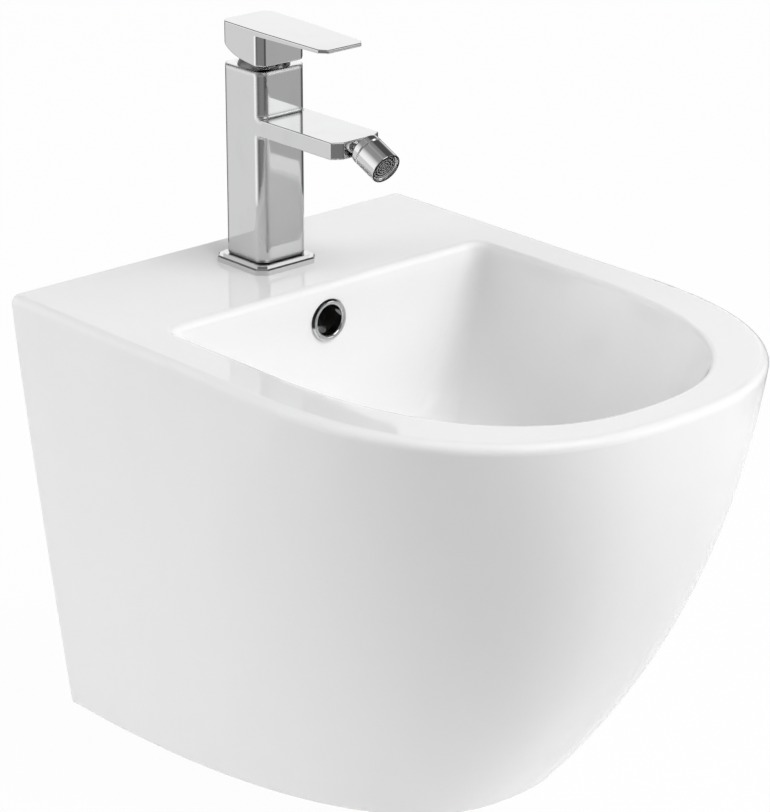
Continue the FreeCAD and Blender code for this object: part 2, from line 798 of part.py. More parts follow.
def lever_block():
    """Handle block whose underside rises in a curve to the rear, so that the lever can lift."""
    x = -column_half
    front_low = V(x, -column_half, column_top + lever_gap_front)
    middle = V(x, column_half * lever_middle_share, column_top + lever_gap_middle)
    control = V(x, column_half * lever_control_share, column_top + lever_gap_control)
    rear_low = V(x, column_half, column_top + lever_gap_rear)
    rear_top = V(x, column_half, lever_top)
    front_top = V(x, -column_half, lever_top - lever_tip_drop)
    belly = Part.BezierCurve()
    belly.setPoles([middle, control, rear_low])
    outline = Part.makePolygon([rear_low, rear_top, front_top, front_low, middle]).Edges
    side = side_face([belly.toShape()] + outline)
    return side.common(soft_square(column_side, column_chamfer, column_soft_round, column_top, lever_top))


def lever_plate():
    x = -column_half
    tip_top = lever_top - lever_tip_drop
    points = [V(x, column_half, lever_top), V(x, -lever_reach, tip_top), V(x, -lever_reach, tip_top - lever_tip),
              V(x, -column_half, lever_top - lever_root), V(x, column_half, lever_top - lever_root)]
    side = side_face(Part.makePolygon(points + points[:1]).Edges)
    rear_inner = column_half - column_chamfer
    tip_half = lever_tip_width / 2
    tip_inner = tip_half - lever_tip_chamfer_width
    shoulder = -lever_reach + lever_tip_chamfer_length
    plan = [(-rear_inner, column_half), (-column_half, rear_inner), (-column_half, -column_half),
            (-tip_half, shoulder), (-tip_inner, -lever_reach), (tip_inner, -lever_reach),
            (tip_half, shoulder), (column_half, -column_half), (column_half, rear_inner),
            (rear_inner, column_half)]
    plate = side.common(prism(plan, column_top, lever_top))
    return plate.makeFillet(column_soft_round, [e for e in upright_edges(plate) if e.BoundBox.YMin > 0])


def lever_form():
    """Block and plate as one piece, soft along every edge but those of the plate's level underside."""
    form = lever_block().fuse(lever_plate()).removeSplitter()
    underside = edges_at(form, lever_top - lever_root, curved_only=False)
    soft = [e for e in sharp_edges(form) if not any(e.isSame(u) for u in underside)]
    return form.makeFillet(edge_round, soft)


def screw_rod(radius, start, length):
    return rod(radius, V(0, start, lever_screw_height), V(0, start + length, lever_screw_height))


screw_start = stem_side / 2 + stem_socket_clearance
cap_start = column_half - screw_cap_length


def lever_handle():
    hollow = Part.makeSphere(dome_sphere_r + lever_dome_gap, V(0, 0, pivot_height))
    half = stem_side / 2 + stem_socket_clearance
    socket = block(-half, half, -half, half, pivot_height, stem_top + stem_socket_clearance)
    screw_hole = screw_rod(lever_screw_r + screw_clearance, 0, column_side)
    cap_hole = screw_rod(screw_cap_r + screw_clearance, cap_start, column_side)
    return on_deck(lever_form().cut([hollow, socket, screw_hole, cap_hole]))


def lever_screw():
    return on_deck(screw_rod(lever_screw_r, screw_start, lever_screw_length))


def screw_cap():
    return on_deck(screw_rod(screw_cap_r, cap_start, column_side).common(lever_block()))


# Swivelling nozzle
def swivel_ball():
    """Ball on a necked stem that screws into the spout's tip, bored through for the water."""
    tip = V(0, -spout_reach, spout_level)
    centre = tip + V(0, -ball_reach, 0)
    thread_end = tip + V(0, ball_thread_length, 0)
    pieces = [rod(neck_r, tip, centre), rod(shoulder_r, tip, tip + V(0, -shoulder_length, 0)),
              rod(ball_thread_r, thread_end, tip)]
    ball = Part.makeSphere(ball_r, centre).fuse(pieces)
    return on_deck(ball.cut(rod(ball_bore_r, thread_end + V(0, overrun, 0), centre + V(0, -ball_r, 0))))


def swivel_pocket():
    """Room for the ball's retaining lip behind its centre, and for the seat ring in front."""
    pocket_r = seat_r + swivel_clearance
    pocket = Part.makeSphere(pocket_r).common(cylinder(pocket_r, 0, pocket_r))
    return pocket.fuse(Part.makeSphere(ball_r + swivel_clearance))


def ball_seat():
    shell = Part.makeSphere(seat_r).cut(Part.makeSphere(ball_r + swivel_clearance))
    return at_ball(shell.common(cylinder(seat_r, seat_back, seat_front)))


def nozzle_collar():
    collar = cylinder(nozzle_r, -nozzle_back, nozzle_split)
    collar = collar.makeFillet(collar_round, edges_at(collar, -nozzle_back))
    collar = collar.makeChamfer(split_bevel, edges_at(collar, nozzle_split))
    return at_ball(collar.cut(swivel_pocket()))


def nozzle_body():
    body = cylinder(nozzle_r, nozzle_split, nozzle_length)
    body = body.makeChamfer(split_bevel, edges_at(body, nozzle_split))
    body = body.makeFillet(nozzle_end_round, edges_at(body, nozzle_length))
    bore = cylinder(nozzle_bore_r, nozzle_split, aerator_back + overrun)
    chamber = cylinder(aerator_r + aerator_clearance, aerator_back, nozzle_length + overrun)
    return at_ball(body.cut([swivel_pocket(), bore, chamber]))


def aerator():
    """Insert with a grille of rings and spokes in front of a closed diffuser."""
    front = nozzle_length - aerator_recess
    low = front - grille_thickness
    inner_r = aerator_r - aerator_shell
    pieces = [ring(aerator_r, inner_r, aerator_back, front)]
    pitch = inner_r / (grille_ring_count + 1)
    for i in range(1, grille_ring_count + 1):
        pieces.append(ring(pitch * i + grille_ring_width / 2, pitch * i - grille_ring_width / 2, low, front))
    spoke = block(0, inner_r + aerator_shell / 2, -grille_spoke_width / 2, grille_spoke_width / 2, low, front)
    pieces += around_z(spoke, grille_spoke_count)
    pieces.append(cylinder(aerator_r, front - diffuser_depth - diffuser_thickness, front - diffuser_depth))
    return at_ball(pieces[0].fuse(pieces[1:]))


parts = {
    "ceramic_body": ceramic_body(),
    "wall_sleeves": wall_sleeves(),
    "overflow_ring": overflow_ring(),
    "waste_upper_seal": waste_upper_seal(),
    "waste_lower_seal": waste_lower_seal(),
    "waste_backnut": waste_backnut(),
    "waste_body": waste_body(),
    "waste_insert": waste_insert(),
    "waste_plug": waste_plug(),
    "plug_seal": plug_seal_ring(),
    "plug_stem": plug_stem(),
    "tap_base_plate": tap_base_plate(),
    "tap_base_seal": tap_base_seal(),
    "tap_body": tap_body(),
    "mounting_stud": mounting_stud(),
    "clamp_gasket": horseshoe(-deck_thickness - clamp_gasket, -deck_thickness),
    "clamp_washer": horseshoe(-deck_thickness - clamp_gasket - clamp_washer, -deck_thickness - clamp_gasket),
    "stud_nut": stud_nut(),
    "cartridge_seal": cartridge_seal_disc(),
    "cartridge_housing": cartridge_housing(),
    "fixed_disc": fixed_disc(),
    "moving_disc": moving_disc(),
    "cartridge_carrier": cartridge_carrier(),
    "pivot_pin": pivot_pin(),
    "cartridge_stem": cartridge_stem(),
    "cartridge_nut": cartridge_nut(),
    "cartridge_dome": cartridge_dome(),
    "lever_handle": lever_handle(),
    "lever_screw": lever_screw(),
    "screw_cap": screw_cap(),
    "swivel_ball": swivel_ball(),
    "ball_seat": ball_seat(),
    "nozzle_collar": nozzle_collar(),
    "nozzle_body": nozzle_body(),
    "aerator": aerator(),
}

os.makedirs("parts", exist_ok=True)
for name, shape in parts.items():
    solids = len(shape.Solids)
    print(name, "valid" if shape.isValid() else "INVALID", "solids", solids, "volume", round(shape.Volume))
    shape.exportStep("parts/" + name + ".step")
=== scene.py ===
# %% [markdown]
# This is a wall-hung bidet with a square lever tap. The solids come ready made from the CAD frame, in
# metres and in their places. The lesson gives each of them its finish, adds the fine pieces that a solid
# leaves out, and sets up a small studio with the camera where the photographer stood.

# %% Load the frame
import json
import math
import bmesh
import bpy
from mathutils import Matrix, Vector


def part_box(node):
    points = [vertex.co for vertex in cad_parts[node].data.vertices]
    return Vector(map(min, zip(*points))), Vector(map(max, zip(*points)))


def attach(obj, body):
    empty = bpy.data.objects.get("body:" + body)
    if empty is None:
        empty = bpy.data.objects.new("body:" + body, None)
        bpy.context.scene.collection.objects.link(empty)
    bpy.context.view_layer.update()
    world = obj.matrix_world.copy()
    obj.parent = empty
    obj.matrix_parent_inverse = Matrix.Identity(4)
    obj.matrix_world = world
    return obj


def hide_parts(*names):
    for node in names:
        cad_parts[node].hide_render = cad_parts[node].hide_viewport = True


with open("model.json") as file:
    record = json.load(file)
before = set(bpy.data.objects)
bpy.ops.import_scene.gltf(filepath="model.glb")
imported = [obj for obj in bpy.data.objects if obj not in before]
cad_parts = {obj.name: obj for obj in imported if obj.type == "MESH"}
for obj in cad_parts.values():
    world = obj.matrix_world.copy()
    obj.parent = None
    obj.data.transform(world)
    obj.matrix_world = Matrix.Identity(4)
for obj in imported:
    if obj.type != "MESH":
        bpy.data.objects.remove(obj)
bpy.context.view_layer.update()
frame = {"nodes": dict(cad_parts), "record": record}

nodes = frame["nodes"]

# %% [markdown]
# A finish is a small network of nodes. Wiring it by hand takes several lines for each sum, so one class
# wraps an output socket and lets Python's own operators add the Math nodes. Its method node adds every
# other kind: the settings go in first, because some of them change which sockets the node has.

# %% Sums with sockets
class Wire:
    """An output socket that takes part in sums. On values only: colours go through Mix and Vector Math."""

    def __init__(self, tree, socket=None):
        self.tree = tree
        self.socket = socket

    def node(self, kind, settings=None, sockets=None, out=0):
        made = self.tree.nodes.new(kind)
        for name, value in (settings or {}).items():
            setattr(made, name, value)
        for name, value in (sockets or {}).items():
            if isinstance(value, Wire):
                self.tree.links.new(value.socket, made.inputs[name])
            else:
                made.inputs[name].default_value = value
        return Wire(self.tree, made.outputs[out])

    def math(self, operation, first, second):
        return self.node("ShaderNodeMath", {"operation": operation}, {0: first, 1: second})

    def into(self, socket):
        self.tree.links.new(self.socket, socket)

    def __add__(self, other):
        return self.math("ADD", self, other)

    def __radd__(self, other):
        return self.math("ADD", other, self)

    def __sub__(self, other):
        return self.math("SUBTRACT", self, other)

    def __rsub__(self, other):
        return self.math("SUBTRACT", other, self)

    def __mul__(self, other):
        return self.math("MULTIPLY", self, other)

    def __rmul__(self, other):
        return self.math("MULTIPLY", other, self)


print("sums ready")

# %% [markdown]
# Every finish starts the same way: a fresh material, its Principled shader, and the object coordinates.
# The nodes of the frame sit at the origin, so those coordinates are the part's own metres, and they
# travel with a piece when it moves. A few more helpers make what most finishes need: sums of vectors, one
# coordinate of a place, a noise, a soft step between two values, a blend of two colours, and a bump whose
# height is in metres.

# %% Helpers for finishes
def start_finish(name):
    material = bpy.data.materials.new(name)
    material.use_nodes = True
    tree = material.node_tree
    place = Wire(tree).node("ShaderNodeTexCoord", out="Object")
    return material, tree.nodes["Principled BSDF"], place


def vectors(operation, first, second=None, out="Vector"):
    sockets = {0: first} if second is None else {0: first, 1: second}
    return first.node("ShaderNodeVectorMath", {"operation": operation}, sockets, out)


def stretched(place, factors):
    return vectors("MULTIPLY", place, factors)


def length_of(vector):
    return vectors("LENGTH", vector, out="Value")


def along(vector, aim):
    return vectors("DOT_PRODUCT", vector, aim, out="Value")


def coordinate(place, axis):
    return place.node("ShaderNodeSeparateXYZ", None, {0: place}, out=axis)


def noise(place, scale, detail=2.0, roughness=0.5):
    return place.node("ShaderNodeTexNoise", None,
                      {"Vector": place, "Scale": scale, "Detail": detail, "Roughness": roughness})


def soft_step(value, low, high):
    settings = {"interpolation_type": "SMOOTHSTEP"}
    return value.node("ShaderNodeMapRange", settings, {"Value": value, "From Min": low, "From Max": high})


def blend(mask, first, second):
    return mask.node("ShaderNodeMix", {"data_type": "RGBA"}, {0: mask, 6: first, 7: second}, out=2)


def bump(height, metres, normal=None):
    sockets = {"Height": height, "Distance": metres}
    if normal is not None:
        sockets["Normal"] = normal
    return height.node("ShaderNodeBump", None, sockets)


def grey(level, warmth=0.0):
    return (level + warmth, level, level - warmth, 1.0)


print("helpers ready")

# %% [markdown]
# The bowl is vitreous china under a white glaze. Fired glaze is never optically flat: it is a film that ran a
# little before it set, so long soft ripples bend its reflections and it is a touch greyer where it ran thick.
# A picture could be laid on for this, but a procedural finish holds at any distance. One noise stretched
# upwards gives the runs, one at two centimetres the ripples, and one at four millimetres the fine skin. The
# face that meets the wall is ground bare, so a mask picks it out by its place and turns it into biscuit.
# Another mask, a tube round the overflow's axis, paints the passage behind the overflow ring near black. This
# is painted shade for a deep hole that little light reaches.

# %% Glaze: sizes and colours
run_stretch = (1.0, 1.0, 0.18)
run_scale = 28.0
ripple_scale = 42.0
skin_scale = 240.0
grain_scale = 1500.0
bare_depth = (-0.0012, -0.0002)
thin_glaze = grey(0.905)
thick_glaze = grey(0.888)
pale_biscuit = (0.74, 0.69, 0.60, 1.0)
dark_biscuit = (0.66, 0.61, 0.53, 1.0)
# painted shade: near-black colour for the deep overflow passage, standing in for the shade inside it
painted_passage_shade = (0.035, 0.034, 0.032, 1.0)
glaze_rough = 0.03
run_rough = 0.04
biscuit_rough = 0.55
skin_share = 0.12
run_share = 0.3
grain_share = 2.0
ripple_height = 0.00009
glaze_ior = 1.44
ring_low, ring_high = (Vector(corner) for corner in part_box("overflow_ring"))
ring_middle = (ring_low + ring_high) / 2.0
ring_r = ring_high.x - ring_middle.x
tube_soft = 0.001
passage_shade_start = (ring_high.y - 0.002, ring_high.y + 0.001)
passage_shade_end = (ring_high.y + 0.030, ring_high.y + 0.032)
print("overflow ring radius", round(ring_r, 5))

# %% Glaze
def across_ring(place):
    """From the overflow's axis to here, in the plane of the ring."""
    return stretched(vectors("SUBTRACT", place, tuple(ring_middle)), (1.0, 0.0, 1.0))


ceramic, shader, place = start_finish("glazed_ceramic")
runs = noise(stretched(place, run_stretch), run_scale, 3.0)
ripples = noise(place, ripple_scale, 1.0)
skin = noise(place, skin_scale, 1.0)
grain = noise(place, grain_scale, 3.0)
depth = coordinate(place, "Y")
bare = soft_step(depth, *bare_depth)
near_axis = 1.0 - soft_step(length_of(across_ring(place)), ring_r - tube_soft, ring_r)
# painted shade mask: a tube behind the overflow ring where the glaze is painted near black
passage_shade_mask = near_axis * soft_step(depth, *passage_shade_start) * (1.0 - soft_step(depth, *passage_shade_end))
biscuit = blend(grain, pale_biscuit, dark_biscuit)
china = blend(bare, blend(runs, thin_glaze, thick_glaze), biscuit)
blend(passage_shade_mask, china, painted_passage_shade).into(shader.inputs["Base Color"])
(glaze_rough + run_rough * runs + biscuit_rough * bare).into(shader.inputs["Roughness"])
surface = ripples + skin_share * skin + run_share * runs + grain_share * bare * grain
bump(surface, ripple_height).into(shader.inputs["Normal"])
shader.inputs["IOR"].default_value = glaze_ior
print("glaze", len(ceramic.node_tree.nodes), "nodes")

# %% [markdown]
# Chrome plate is a thin bright metal, greyer than silver: it gives back a little under two thirds of what
# falls on it. Its look is nearly all reflection, so the finish is Metallic 1 with a low roughness. Wiping
# leaves faint smears, which show mostly as a change in gloss, and the cast brass under the plate is polished
# by hand, so a long shallow wave keeps the flats from looking like printed mirrors. Where two pieces meet,
# such as at the column's foot, a mask can paint the plate near black. This is painted shade for the gap
# between them.

# %% Chrome plate
plate_bright = 0.645
plate_smeared = 0.625
plate_warmth = -0.002
smear_stretch = (1.0, 1.0, 0.5)
smear_scale = 60.0
smear_range = (0.45, 0.75)
wave_scale = 55.0
wave_height = 0.00003
plate_rough = 0.035
smear_rough = 0.045
# painted shade: near-black colour laid where two pieces meet, standing in for the shade in the gap
painted_gap_shade = (0.030, 0.030, 0.032, 1.0)


def chrome_plate(name, find_edges=None, find_shade=None, bright=plate_bright, smeared=plate_smeared):
    """Bright plate, with the normals that find_edges gives, and painted shade, near black, where find_shade
    makes a mask of 1.
    """
    material, shader, place = start_finish(name)
    smears = soft_step(noise(stretched(place, smear_stretch), smear_scale, 4.0), *smear_range)
    waves = noise(place, wave_scale, 0.0)
    edges = None if find_edges is None else find_edges(place)
    plate = blend(smears, grey(bright, plate_warmth), grey(smeared, plate_warmth))
    # painted shade: the mask lays near black over the plate
    if find_shade is not None:
        plate = blend(find_shade(place), plate, painted_gap_shade)
    plate.into(shader.inputs["Base Color"])
    (plate_rough + smear_rough * smears).into(shader.inputs["Roughness"])
    bump(waves, wave_height, edges).into(shader.inputs["Normal"])
    shader.inputs["Metallic"].default_value = 1.0
    return material


chrome = chrome_plate("chrome")
print("chrome", len(chrome.node_tree.nodes), "nodes")

# %% [markdown]
# Polishing wears the edges of the tap's castings round, and a round edge draws a fine line of its own on a
# mirror. The edges could be cut into the mesh, but the solids stay as they are, so a Bevel node bends only
# the normals there: wide on the column, narrow on the spout and the lever. The dark lines are painted shade,
# laid by masks by place: along the joint at the column's foot, and in an arc over the upper left edge of the
# overflow ring. The dome under the lever lies in the shade of the handle, and its plate is painted darker for
# that shade.

# %% Chrome of the tap and the ring
column_edge = 0.005
thin_edge = 0.0012
foot_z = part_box("tap_base_plate")[1][2]
foot_band = 0.02
foot_shade_line = (foot_z + 0.00063, foot_z + 0.0009)
tap_points = [vertex.co for vertex in nodes["tap_body"].data.vertices]
column_front = min(point.y for point in tap_points if foot_z < point.z < foot_z + foot_band)
spout_start = (column_front - 0.002, column_front - 0.0005)
ring_shade_aim = (-0.60, 0.0, 0.80)
ring_shade_edge = (ring_r - 0.0011, ring_r - 0.0008)
ring_shade_height = (0.35 * ring_r, 0.50 * ring_r)


def worn(place, radius):
    return place.node("ShaderNodeBevel", {"samples": 8}, {"Radius": radius})


def lever_edges(place):
    return worn(place, thin_edge)


def column_edges(place):
    """Rounder on the column than on the spout, which starts at the column's front."""
    on_column = soft_step(coordinate(place, "Y"), *spout_start)
    pair = {0: on_column, 4: worn(place, thin_edge), 5: worn(place, column_edge)}
    return place.node("ShaderNodeMix", {"data_type": "VECTOR"}, pair, out=1)


# painted shade: a near-black band at the column's foot, standing in for the shadow in the joint
def column_foot_shade(place):
    return 1.0 - soft_step(coordinate(place, "Z"), *foot_shade_line)


# painted shade: a near-black arc along the ring's upper left edge, standing in for shadow there
def ring_shade_arc(place):
    across = across_ring(place)
    return soft_step(length_of(across), *ring_shade_edge) * soft_step(along(across, ring_shade_aim), *ring_shade_height)


column_chrome = chrome_plate("column_chrome", column_edges, column_foot_shade)
lever_chrome = chrome_plate("lever_chrome", lever_edges)
ring_chrome = chrome_plate("ring_chrome", None, ring_shade_arc)
# painted shade: a darker copy of the chrome for the dome, standing in for the handle's shade over it
shaded_dome_chrome = chrome_plate("shaded_dome_chrome", bright=0.20, smeared=0.16)
print("column front at", round(column_front, 5))

# %% [markdown]
# Under the deck and behind the tap the fittings are plain brass and stainless steel, left as they came
# off the lathe. Turning leaves fine rings round each piece. A wave across the height would do for one
# lathe axis, but the pieces stand at different angles, so a noise squeezed hard along Z gives lines that
# lie level, with a darker film of oxide in cloudy patches.

# %% Turned metals
line_squeeze = (6.0, 6.0, 900.0)
line_scale = 4.0
line_height = 0.00002
line_rough = 0.08
film_scale = 90.0
film_range = (0.40, 0.70)


def turned_metal(name, bright, dull, smooth, rough):
    material, shader, place = start_finish(name)
    lines = noise(stretched(place, line_squeeze), line_scale, 2.0)
    film = soft_step(noise(place, film_scale, 4.0, 0.6), *film_range)
    blend(film, bright, dull).into(shader.inputs["Base Color"])
    (smooth + (rough - smooth) * film + line_rough * lines).into(shader.inputs["Roughness"])
    bump(lines, line_height).into(shader.inputs["Normal"])
    shader.inputs["Metallic"].default_value = 1.0
    return material


brass = turned_metal("brass", (0.72, 0.53, 0.25, 1.0), (0.55, 0.38, 0.17, 1.0), 0.22, 0.36)
steel = turned_metal("steel", (0.58, 0.58, 0.57, 1.0), (0.46, 0.46, 0.46, 1.0), 0.25, 0.38)
print("metals", brass.name, steel.name)

# %% [markdown]
# Seals are black rubber with the dusty bloom that moulded rubber grows, and a fine pebble from the mould.
# The sleeves, the cartridge and the plug's guide are moulded plastic, a little yellower where it ages,
# and the valve's discs are lapped ceramic, far smoother. All of them are one recipe with other numbers: a
# base colour, a bloom in clouds, a grain with its scale and height in metres, and the roughness of both.

# %% Rubber, plastics and disc ceramic
cloud_scale = 130.0
cloud_range = (0.42, 0.72)
pebble_rough = 0.06


def moulded(name, base, bloom, pebble_scale, pebble_height, smooth, rough):
    material, shader, place = start_finish(name)
    clouds = soft_step(noise(place, cloud_scale, 4.0), *cloud_range)
    pebble = noise(place, pebble_scale, 2.0)
    blend(clouds, base, bloom).into(shader.inputs["Base Color"])
    (smooth + (rough - smooth) * clouds + pebble_rough * pebble).into(shader.inputs["Roughness"])
    bump(pebble, pebble_height).into(shader.inputs["Normal"])
    return material


rubber = moulded("rubber", grey(0.018), grey(0.045), 2600.0, 0.00004, 0.55, 0.75)
white_plastic = moulded("white_plastic", grey(0.78, 0.008), grey(0.72, 0.012), 1800.0, 0.00001, 0.32, 0.45)
grey_plastic = moulded("grey_plastic", grey(0.16), grey(0.21), 1800.0, 0.00001, 0.34, 0.48)
disc_ceramic = moulded("disc_ceramic", grey(0.80, 0.02), grey(0.75, 0.03), 3200.0, 0.000003, 0.12, 0.20)
print("moulded finishes ready")

# %% [markdown]
# The record names a finish for every node. Each node of the frame keeps its mesh, and only the material in
# its slots changes. The pieces whose chrome has its own edges or painted shade get theirs last.

# %% Hand out the finishes
finishes = {"glazed_ceramic": ceramic, "chrome": chrome, "brass": brass, "steel": steel, "rubber": rubber,
            "white_plastic": white_plastic, "grey_plastic": grey_plastic, "disc_ceramic": disc_ceramic}
own_finishes = {"tap_body": column_chrome, "lever_handle": lever_chrome, "cartridge_dome": shaded_dome_chrome,
                "overflow_ring": ring_chrome}


def dress(node, finish):
    for slot in nodes[node].material_slots:
        slot.material = finish


for subpart in frame["record"]["subparts"]:
    dress(subpart["node"], finishes[subpart["material_slot"]])
for node, finish in own_finishes.items():
    dress(node, finish)

# %% [markdown]
# Some fine forms are left to this lesson: the outlet's grid and the threads. Each new piece is a closed
# mesh made in code, in the part's own metres. One helper turns a finished bmesh into an object: it makes
# the faces point outwards, shades them smooth except across real edges, and lets the piece ride on its
# body.

# %% From mesh to piece
edge_angle = math.radians(38.0)


def new_piece(mesh, name, slot, body, turn, finish=None):
    bmesh.ops.recalc_face_normals(mesh, faces=mesh.faces)
    mesh.transform(turn)
    data = bpy.data.meshes.new(name)
    mesh.to_mesh(data)
    mesh.free()
    data.shade_smooth()
    data.set_sharp_from_angle(angle=edge_angle)
    data.materials.append(finish or finishes[slot])
    piece = bpy.data.objects.new(name, data)
    bpy.context.scene.collection.objects.link(piece)
    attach(piece, body)
    print(name, "has", len(data.polygons), "faces")
    return piece


print("pieces are sharp over", round(math.degrees(edge_angle)), "degrees")

# %% [markdown]
# The outlet insert sits in the nozzle's end. On the real one it is a moulded grid: thin concentric rings,
# tied together by short ribs that are staggered from ring to ring, so that the jet comes out as one clear
# rod. A picture of rings on a disc would look flat from the side, so every ring is spun from a
# round-nosed profile and every rib is the same profile run along a radius. The insert's place and size
# are measured on the node that it replaces: the nozzle's axis runs from the ball's centre through the
# middle of that node.

# %% Rings and ribs
def round_nosed(width, height, middle, top, steps=4):
    """Closed profile of (across, up) points: straight sides and half a circle on top."""
    nose = width / 2.0
    arc = [math.pi * step / steps for step in range(steps + 1)]
    over = [(middle + nose * math.cos(a), top - nose + nose * math.sin(a)) for a in arc]
    return [(middle + nose, top - height)] + over + [(middle - nose, top - height)]


def join_rows(mesh, row, following):
    for i, corner in enumerate(row):
        j = (i + 1) % len(row)
        mesh.faces.new((corner, following[i], following[j], row[j]))


def spin(mesh, profile, sides=96):
    """Spins a closed profile of (radius, height) points once round Z."""
    rows = []
    for step in range(sides):
        angle = 2.0 * math.pi * step / sides
        rows.append([mesh.verts.new((r * math.cos(angle), r * math.sin(angle), h)) for r, h in profile])
    for row, following in zip(rows, rows[1:] + rows[:1]):
        join_rows(mesh, row, following)


def rib(mesh, profile, start, end, angle):
    """Runs a closed profile of (side, height) points along a radius, and closes both ends."""
    out = Vector((math.cos(angle), math.sin(angle), 0.0))
    side = Vector((-out.y, out.x, 0.0))
    rows = []
    for r in (start, end):
        rows.append([mesh.verts.new(out * r + side * s + Vector((0.0, 0.0, h))) for s, h in profile])
    join_rows(mesh, *rows)
    mesh.faces.new(rows[0])
    mesh.faces.new(rows[1])


print("ring and rib ready")

# %% Outlet insert: place and sizes
joint_place = {joint["name"]: joint.get("pos_m") for joint in frame["record"]["behaviour"]["joints"]}
ball = Vector(joint_place["nozzle_tilt"])
low, high = (Vector(corner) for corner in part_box("aerator"))
jet = ((low + high) / 2.0 - ball).normalized()
insert_points = [vertex.co - ball for vertex in nodes["aerator"].data.vertices]
nozzle_points = [vertex.co - ball for vertex in nodes["nozzle_body"].data.vertices]
insert_back = min(point.dot(jet) for point in insert_points)
insert_front = max(point.dot(jet) for point in insert_points)
insert_r = max((point - jet * point.dot(jet)).length for point in insert_points)
rim = max(point.dot(jet) for point in nozzle_points)
shell = 0.0009
lip = 0.0003
inner_r = insert_r - shell
grid_top = insert_front - lip
grid_depth = 0.0022
grid_ring = 0.00080
grid_rib = 0.00050
grid_rings = 4
grid_pitch = inner_r / (grid_rings + 0.6)
ribs_in_first = 4
more_ribs = 4
rib_drop = 0.0002
rib_depth = 0.8 * grid_depth
plate_top = grid_top - 1.6 * grid_depth
plate_back = plate_top - 0.001
plate_hole = 0.25 * inner_r
print("outlet radius", round(insert_r, 5), "rim at", round(rim, 5))

# %% [markdown]
# The grid's rings are pale at their noses, and further down, in the holes between them, the colour is painted
# near black. This is painted shade for the dark of the holes. A bright collar holds it all. Three materials
# on one piece would do, but depth and distance from the jet's axis already say which is which, so two soft
# steps on those make the masks. The same depth finds the nozzle's end face, whose chrome is painted near
# black as painted shade and a painted dark reflection.

# %% Finish of the outlet
rim_shade_line = (rim - 0.00035, rim - 0.000245)
nose_depth = (grid_top - 0.35 * grid_depth, grid_top)
collar_edge = (inner_r - 0.0001, inner_r + 0.0001)
# painted shade: the near-black colour of the grid's deeper parts, for the shade down in its holes
painted_hole_shade = grey(0.010)
nose_pale = grey(0.36)
collar_bright = grey(0.92)
speck_scale = 1800.0
speck_height = 0.00001
grid_rough = 0.36
speck_rough = 0.12
collar_polish = 0.22


def ball_to_here(place):
    return vectors("SUBTRACT", place, tuple(ball))


# painted shade and painted dark reflection: this mask lays near black on the nozzle's end face
def nozzle_rim_shade(place):
    return soft_step(along(ball_to_here(place), tuple(jet)), *rim_shade_line)


dress("nozzle_body", chrome_plate("nozzle_chrome", None, nozzle_rim_shade))
outlet_finish, shader, place = start_finish("outlet_grid")
from_ball = ball_to_here(place)
noses = soft_step(along(from_ball, tuple(jet)), *nose_depth)
collar = soft_step(length_of(vectors("CROSS_PRODUCT", from_ball, tuple(jet))), *collar_edge)
specks = noise(place, speck_scale, 2.0)
blend(collar, blend(noses, painted_hole_shade, nose_pale), collar_bright).into(shader.inputs["Base Color"])
collar.into(shader.inputs["Metallic"])
(grid_rough + speck_rough * specks - collar_polish * collar).into(shader.inputs["Roughness"])
bump(specks, speck_height).into(shader.inputs["Normal"])
print("outlet finish ready")

# %% [markdown]
# Now the grid itself, built upright round Z and then turned onto the jet. The collar is one spin, the
# rings are four more, and each gap between them has more ribs than the one inside it, set half a step
# round in every other gap. A plate with a hole closes the view behind the grid.

# %% Outlet insert
grid = bmesh.new()
spin(grid, [(insert_r, insert_back), (insert_r, insert_front - lip), (insert_r - lip, insert_front),
            (inner_r + lip, insert_front), (inner_r, insert_front - lip), (inner_r, insert_back)])
for ring in range(1, grid_rings + 1):
    spin(grid, round_nosed(grid_ring, grid_depth, grid_pitch * ring, grid_top))
rib_profile = round_nosed(grid_rib, rib_depth, 0.0, grid_top - rib_drop)
for gap in range(grid_rings + 1):
    end = inner_r if gap == grid_rings else grid_pitch * (gap + 1)
    count = ribs_in_first + more_ribs * gap
    stagger = 0.5 * (gap % 2)
    for step in range(count):
        rib(grid, rib_profile, grid_pitch * gap, end, 2.0 * math.pi * (step + stagger) / count)
spin(grid, [(inner_r, plate_top), (plate_hole, plate_top + rib_drop), (plate_hole, plate_back),
            (inner_r, plate_back)])
turn = Matrix.Translation(ball) @ jet.to_track_quat("Z", "Y").to_matrix().to_4x4()
insert = new_piece(grid, "outlet_insert", "grey_plastic", "nozzle", turn, outlet_finish)
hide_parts("aerator")

# %% [markdown]
# Threads catch the light in slanting lines, and a plain rod in their place is the first thing that a
# plumber would miss. A curve with an array modifier could wind one, but its ends are ragged. Here a
# thread is a tube whose radius is a formula: a ramp that rises and falls once in each pitch and moves on
# by one pitch in each turn, with flats at crest and root, and it fades out at both ends as a cut thread
# does.

# %% Thread maker
flank_slope = 1.5
root_flat = 0.25


